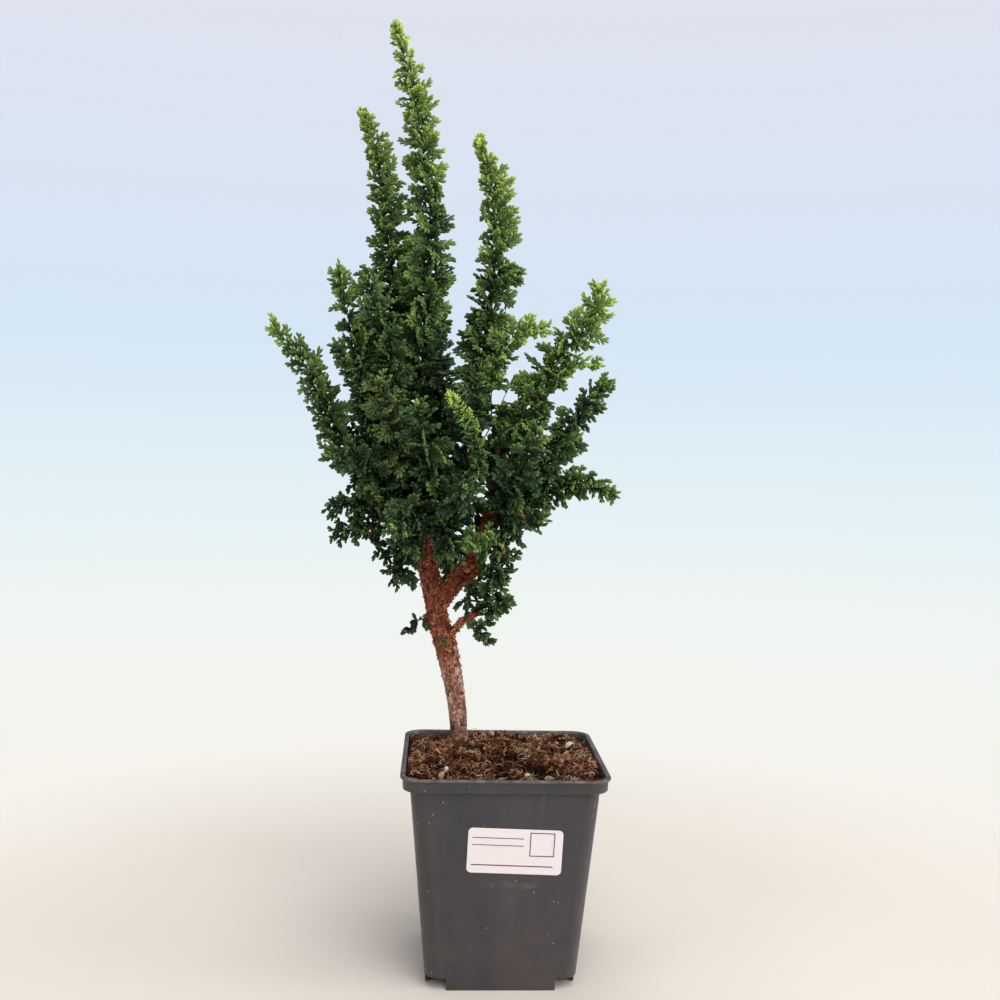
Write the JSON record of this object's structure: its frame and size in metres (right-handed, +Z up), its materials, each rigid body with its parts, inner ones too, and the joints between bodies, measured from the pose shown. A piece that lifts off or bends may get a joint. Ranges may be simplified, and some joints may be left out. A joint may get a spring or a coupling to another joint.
{
  "type": "hinoki cypress bonsai in a nursery pot",
  "caption": "Young upright hinoki cypress bonsai with spiky leafy leaders over a short leaning trunk, rooted in soil in a square tapered plastic nursery pot.",
  "frame": {"origin": "centre of the pot's underside, on the surface it stands on", "axes": "+Z up along the plant, -Y out of the pot face that carries the label, +X to the right seen from that face"},
  "size_m": [0.161, 0.1168, 0.4286],
  "materials": {
    "pot_plastic": "satin",
    "label_paper": "matte",
    "soil_peat": "matte",
    "bark": "matte",
    "leaf_green": "satin"
  },
  "bodies": {
    "root": {"pot": "pot_plastic", "label": "label_paper", "soil": "soil_peat", "wood": "bark", "leader_centre": "leaf_green", "leader_left": "leaf_green", "leader_right": "leaf_green", "spire_left": "leaf_green", "spire_left_in": "leaf_green", "far_left": "leaf_green", "side_left": "leaf_green", "bulge_left": "leaf_green", "arch_right": "leaf_green", "spire_right": "leaf_green", "tip_right": "leaf_green", "spire_right_low": "leaf_green", "tail_right": "leaf_green", "front_bright": "leaf_green", "front_fan_low": "leaf_green", "low_right_up": "leaf_green", "low_right_out": "leaf_green", "low_right_down": "leaf_green", "low_left_a": "leaf_green", "low_left_b": "leaf_green", "low_left_down": "leaf_green", "front_left_fan": "leaf_green", "front_centre": "leaf_green", "front_left_up": "leaf_green", "front_right": "leaf_green", "front_low_right": "leaf_green", "centre_top": "leaf_green", "inner_front": "leaf_green", "inner_low": "leaf_green", "inner_low_left": "leaf_green", "inner_front_low": "leaf_green", "inner_left": "leaf_green", "inner_left_up": "leaf_green", "twig_left": "leaf_green", "crown_right_mid": "leaf_green", "back_spire": "leaf_green", "back_left": "leaf_green", "back_right": "leaf_green", "back_low_left": "leaf_green", "back_low": "leaf_green", "back_low_right": "leaf_green", "back_fan_low": "leaf_green", "back_mid": "leaf_green", "back_top": "leaf_green", "right_back": "leaf_green", "left_back": "leaf_green"}
  },
  "joints": []
}
